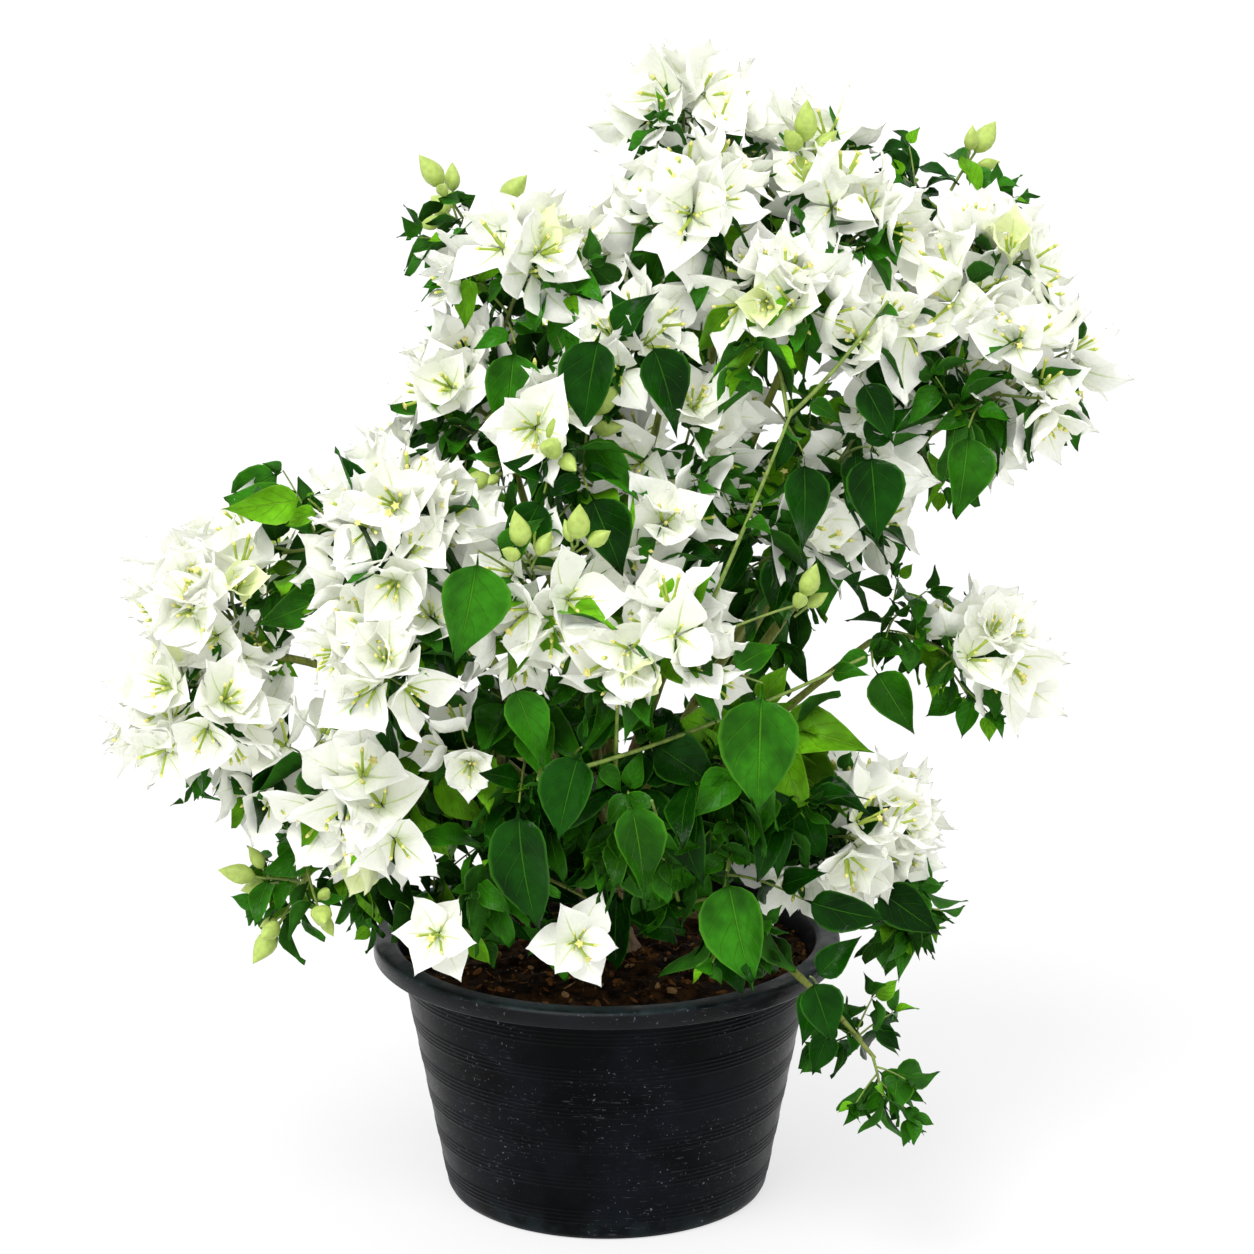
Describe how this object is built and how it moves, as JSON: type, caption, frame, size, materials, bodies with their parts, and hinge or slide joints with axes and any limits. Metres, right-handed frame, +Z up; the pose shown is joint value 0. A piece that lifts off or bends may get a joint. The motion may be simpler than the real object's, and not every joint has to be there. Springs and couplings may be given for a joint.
{
  "type": "potted flowering shrub",
  "caption": "White bougainvillea bush with arching canes, papery blossom and dark leaves, in a wide round plastic nursery pot filled with soil.",
  "frame": {"origin": "middle of the pot's flat underside", "axes": "+Z up, -Y is the front that the picture shows, +X is to the right seen from the front"},
  "size_m": [0.626, 0.4123, 0.75],
  "materials": {
    "pot": "satin black moulded plastic",
    "soil": "rough damp bark and fibre mix",
    "bark": "dull green brown bark",
    "blossom": "thin matt white bracts",
    "leaves": "half glossy dark green leaves"
  },
  "bodies": {
    "root": {"pot": "pot", "soil": "soil", "trunk": "bark", "left_arching_cane": "bark", "left_upper_cane": "bark", "front_cane": "bark", "centre_cane": "bark", "long_cane": "bark", "right_upper_cane": "bark", "right_arm_cane": "bark", "trailing_cane": "bark", "low_left_cane": "bark", "left_rim_cane": "bark", "back_left_cane": "bark", "back_centre_cane": "bark", "back_right_cane": "bark", "left_low_cane": "bark", "left_hanging_cane": "bark", "inner_left_cane": "bark", "centre_upper_cane": "bark", "top_cane": "bark", "right_mid_cane": "bark", "right_low_cane": "bark", "right_sprig_cane": "bark", "front_low_cane": "bark", "right_leaves_cane": "bark", "back_upper_cane": "bark", "back_side_cane": "bark", "back_low_left_cane": "bark", "back_low_right_cane": "bark", "far_left_blossom": "blossom", "left_low_blossom": "blossom", "left_hanging_spray": "leaves", "left_blossom": "blossom", "front_blossom": "blossom", "centre_blossom": "blossom", "upper_left_blossom": "blossom", "upper_centre_leaves": "leaves", "top_blossom": "blossom", "upper_right_blossom": "blossom", "right_far_blossom": "blossom", "right_sprig": "leaves", "right_mid_leaves": "leaves", "right_arm_blossom": "blossom", "right_low_blossom": "blossom", "right_low_leaves": "leaves", "centre_leaves": "leaves", "low_left_leaves": "leaves", "left_rim_leaves": "leaves", "trailing_spray": "leaves", "back_left_blossom": "blossom", "back_centre_blossom": "blossom", "back_upper_blossom": "blossom", "back_side_blossom": "blossom", "back_right_blossom": "blossom", "back_low_left_leaves": "leaves", "back_low_right_leaves": "leaves"}
  },
  "joints": []
}
